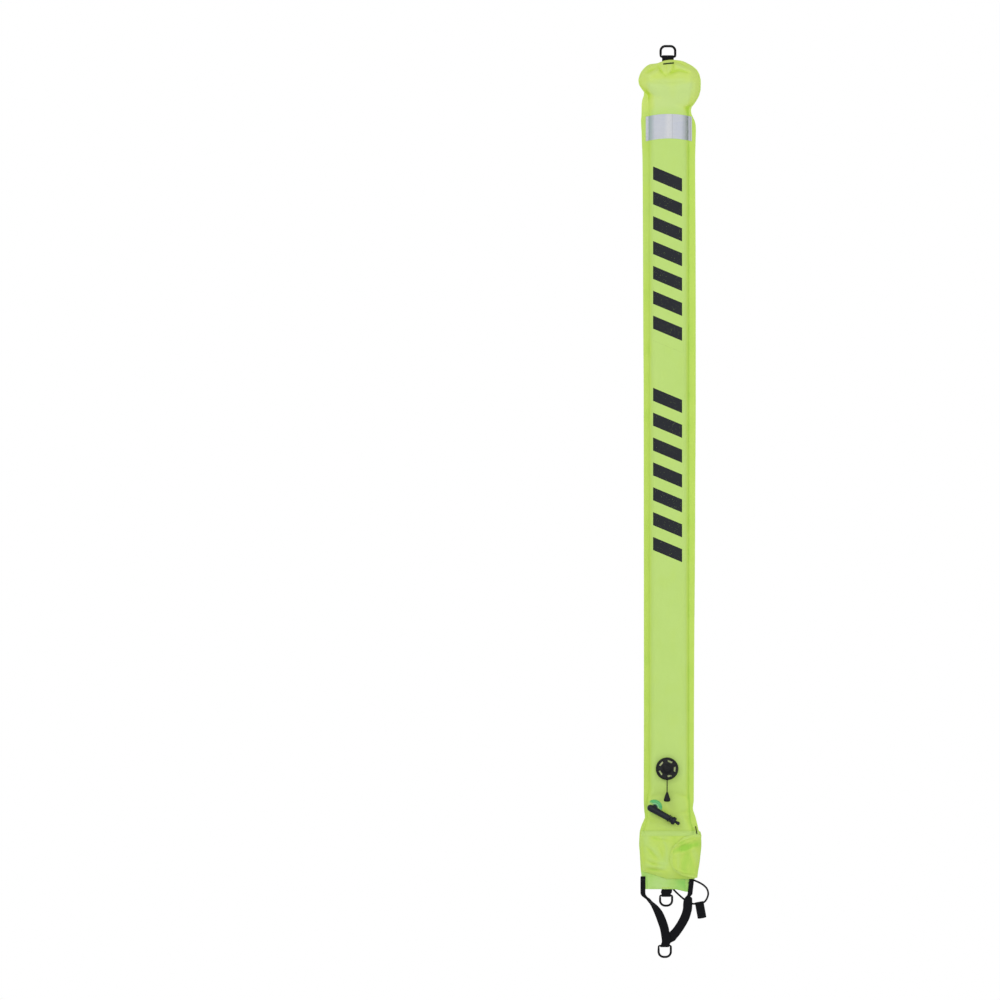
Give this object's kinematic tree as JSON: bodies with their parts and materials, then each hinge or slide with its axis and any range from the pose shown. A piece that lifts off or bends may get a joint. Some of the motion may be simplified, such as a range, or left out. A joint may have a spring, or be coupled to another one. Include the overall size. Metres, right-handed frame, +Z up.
{
  "type": "surface marker buoy",
  "caption": "Tall slim inflatable marker buoy for divers: welded fabric tube with top ring, reflective band, pressure valve, oral inflator, storage pouch, tail ring and webbing bridle.",
  "frame": {"origin": "inner bearing point of the top ring, where the hook that holds the buoy up touches it", "axes": "+Z up along the hanging tube, -Y the front with the valve and the pouch, +X to the right seen from the front; y = 0 is the weld plane"},
  "size_m": [0.155, 0.0545, 2.0056],
  "materials": {
    "lime_fabric": "coated nylon, fine plain weave, satin, fluorescent yellow-green",
    "lime_flange": "moulded flexible plastic, yellow-green, satin",
    "reflective_tape": "retroreflective silver tape, slightly creased",
    "black_webbing": "woven nylon webbing, matte black",
    "black_plastic": "moulded plastic, satin black",
    "inflator_plastic": "moulded plastic, dark green-black, semi-gloss",
    "clear_flange": "clear flexible plastic over yellow-green fabric",
    "coated_ring": "black coated steel wire, satin",
    "black_rubber": "moulded rubber, matte",
    "stainless_steel": "drawn spring wire",
    "thread": "dense zigzag stitching",
    "hook_and_loop": "hook and loop tape, napped",
    "cord_cover": "braided cord cover, matte black"
  },
  "bodies": {
    "bladder": {"bladder_front_panel": "lime_fabric", "bladder_back_panel": "lime_fabric", "reflective_band": "reflective_tape", "top_webbing_loop": "black_webbing", "opv_weld_flange": "lime_flange", "opv_valve_seat": "black_plastic", "opv_spring": "stainless_steel", "opv_cap": "black_plastic", "opv_cord_guide": "black_plastic", "inflator_base_flange": "clear_flange", "pouch_front_panel": "lime_fabric", "pouch_top_hem": "lime_fabric", "pouch_loop_patch": "hook_and_loop", "pouch_side_tab": "black_webbing", "tail_band": "lime_fabric", "tail_bar_tack": "thread", "tail_webbing_loop": "black_webbing", "bridle_anchor_left": "black_webbing", "bridle_anchor_left_tack": "thread", "bridle_anchor_right": "black_webbing", "bridle_anchor_right_tack": "thread", "bungee_loop": "cord_cover", "bungee_anchor_low": "black_webbing", "bungee_anchor_high": "black_webbing", "bungee_tab": "black_webbing"},
    "top_ring": {"top_d_ring": "coated_ring"},
    "tail_ring": {"tail_d_ring": "coated_ring"},
    "bridle": {"bridle_strap": "black_webbing"},
    "bridle_ring": {"bridle_d_ring": "coated_ring"},
    "pouch_flap": {"pouch_flap": "lime_fabric", "flap_binding": "lime_fabric", "flap_hook_patch": "hook_and_loop"},
    "pull_knob": {"opv_pull_cord": "cord_cover", "opv_pull_knob": "black_plastic"},
    "valve_poppet": {"opv_poppet": "black_plastic", "opv_seal_disc": "black_rubber"},
    "inflator": {"inflator_elbow": "inflator_plastic", "inflator_collar": "inflator_plastic", "inflator_check_valve": "black_rubber", "inflator_spring": "stainless_steel"},
    "mouthpiece": {"inflator_nipple": "inflator_plastic", "inflator_o_ring": "black_rubber"}
  },
  "joints": [
    {"name": "top_ring_swing", "type": "hinge", "parent": "bladder", "child": "top_ring", "pos_m": [-0.0013, 0, -0.02], "axis": [1, 0, 0], "range_deg": [-120, 120]},
    {"name": "tail_ring_swing", "type": "hinge", "parent": "bladder", "child": "tail_ring", "pos_m": [-0.005, 0.00285, -1.8645], "axis": [1, 0, 0], "range_deg": [-120, 120]},
    {"name": "bridle_swing", "type": "hinge", "parent": "bladder", "child": "bridle", "pos_m": [0, 0, -1.861], "axis": [-1, 0, 0], "range_deg": [-5, 75]},
    {"name": "bridle_ring_swing", "type": "hinge", "parent": "bridle", "child": "bridle_ring", "pos_m": [-0.0083, 0, -1.9752], "axis": [1, 0, 0], "range_deg": [-120, 120]},
    {"name": "pouch_flap_hinge", "type": "hinge", "parent": "bladder", "child": "pouch_flap", "pos_m": [0.0674, -0.00275, -1.7785], "axis": [0.0964, 0, 0.9953], "range_deg": [0, 165]},
    {"name": "knob_pull", "type": "slide", "parent": "bladder", "child": "pull_knob", "axis": [0, 0, -1], "range_m": [0, 0.0025], "stiffness_N_per_m": 200, "springref_m": -0.004},
    {"name": "poppet_lift", "type": "slide", "parent": "bladder", "child": "valve_poppet", "axis": [0, -1, 0], "range_m": [0, 0.0025], "deforming": ["opv_spring"]},
    {"name": "inflator_swivel", "type": "hinge", "parent": "bladder", "child": "inflator", "pos_m": [-0.031, 0, -1.671], "axis": [0, 1, 0], "range_deg": [-20, 20]},
    {"name": "mouthpiece_push", "type": "slide", "parent": "inflator", "child": "mouthpiece", "axis": [-0.8742, 0, 0.4856], "range_m": [0, 0.003], "stiffness_N_per_m": 150, "springref_m": -0.003, "deforming": ["inflator_spring"]}
  ],
  "couplings": [
    {"joint": "poppet_lift", "follows": "knob_pull", "ratio": 1}
  ]
}
